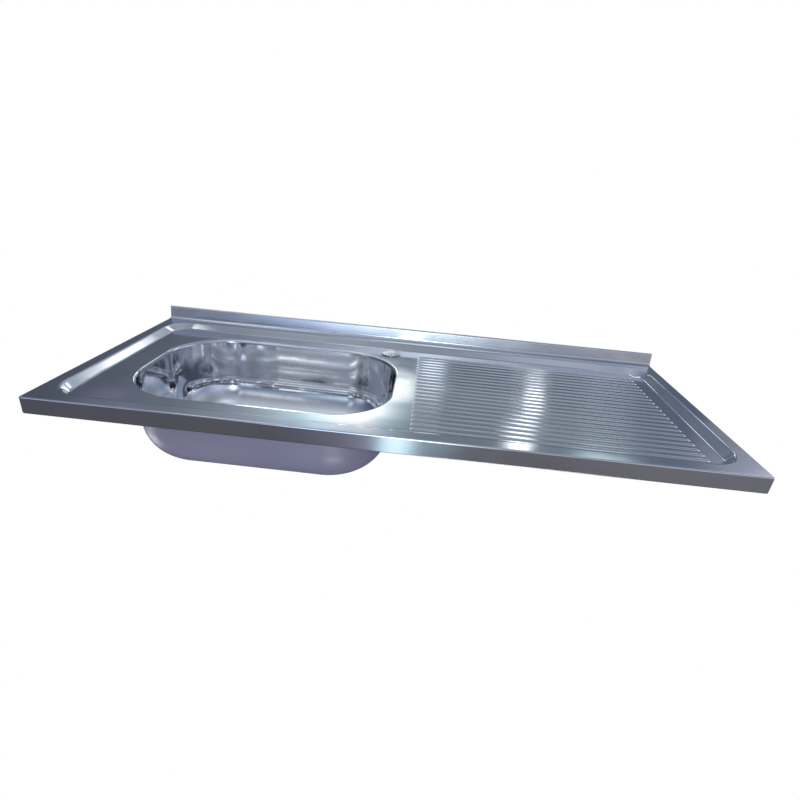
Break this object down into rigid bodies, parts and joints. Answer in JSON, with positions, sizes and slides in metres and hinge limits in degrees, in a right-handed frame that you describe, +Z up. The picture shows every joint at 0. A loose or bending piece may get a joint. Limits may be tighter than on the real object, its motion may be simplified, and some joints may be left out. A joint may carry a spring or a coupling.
{
  "type": "kitchen sink",
  "caption": "Lay-on kitchen sink pressed from thin steel: one deep bowl on the left, a ribbed drainer on the right and an upstand along the back.",
  "frame": {"origin": "on the underside of the front seat flange, halfway along the sink", "axes": "+X along the sink towards the drainer, +Y to the wall behind, +Z up"},
  "size_m": [1.2, 0.511, 0.248],
  "materials": {
    "sink_steel": "fine brushed, bright",
    "bowl_steel": "polished inside",
    "sound_coat": "smooth matt sprayed coat",
    "cover_chrome": "bright",
    "zinc_steel": "zinc plated",
    "galvanised_steel": "galvanised, dull",
    "pad_felt": "matt heavy felt",
    "seal_rubber": "matt",
    "waste_steel": "polished flange",
    "waste_plastic": "matt moulded",
    "basket_steel": "bright"
  },
  "bodies": {
    "sink": {"sink_top": "sink_steel", "bowl": "bowl_steel", "bowl_sound_coat": "sound_coat", "tap_hole_cover": "cover_chrome", "cover_seal": "seal_rubber", "cover_clamp_plate": "zinc_steel", "cover_wing_nut": "zinc_steel", "front_edge_channel": "galvanised_steel", "rear_edge_channel": "galvanised_steel", "cross_rail_left": "galvanised_steel", "cross_rail_drainer_1": "galvanised_steel", "cross_rail_drainer_2": "galvanised_steel", "cross_rail_drainer_3": "galvanised_steel", "drainer_pad_1": "pad_felt", "drainer_pad_2": "pad_felt", "corner_plate_front_left": "galvanised_steel", "corner_plate_front_right": "galvanised_steel", "corner_plate_rear_left": "galvanised_steel", "corner_plate_rear_right": "galvanised_steel", "clip_bolts": "zinc_steel", "clip_wing_nuts": "zinc_steel", "waste_body": "waste_steel", "waste_flange_seal": "seal_rubber", "waste_rubber_washer": "seal_rubber", "waste_friction_ring": "waste_plastic", "waste_lock_nut": "waste_plastic"},
    "strainer_basket": {"basket": "basket_steel", "basket_post": "cover_chrome", "basket_seal": "seal_rubber"},
    "clip_front_left": {"clip_arm_front_left": "zinc_steel"},
    "clip_front_right": {"clip_arm_front_right": "zinc_steel"},
    "clip_rear_left": {"clip_arm_rear_left": "zinc_steel"},
    "clip_rear_right": {"clip_arm_rear_right": "zinc_steel"}
  },
  "joints": [
    {"name": "basket_lift", "type": "slide", "parent": "sink", "child": "strainer_basket", "axis": [0, 0, 1], "range_m": [0, 0.255]},
    {"name": "clip_front_left_swing", "type": "hinge", "parent": "sink", "child": "clip_front_left", "pos_m": [-0.5662, 0.0733, -0.018], "axis": [0, 0, 1], "continuous": true},
    {"name": "clip_front_right_swing", "type": "hinge", "parent": "sink", "child": "clip_front_right", "pos_m": [0.5662, 0.0733, -0.018], "axis": [0, 0, 1], "continuous": true},
    {"name": "clip_rear_left_swing", "type": "hinge", "parent": "sink", "child": "clip_rear_left", "pos_m": [-0.5662, 0.4054, -0.018], "axis": [0, 0, 1], "continuous": true},
    {"name": "clip_rear_right_swing", "type": "hinge", "parent": "sink", "child": "clip_rear_right", "pos_m": [0.5662, 0.4054, -0.018], "axis": [0, 0, 1], "continuous": true}
  ]
}
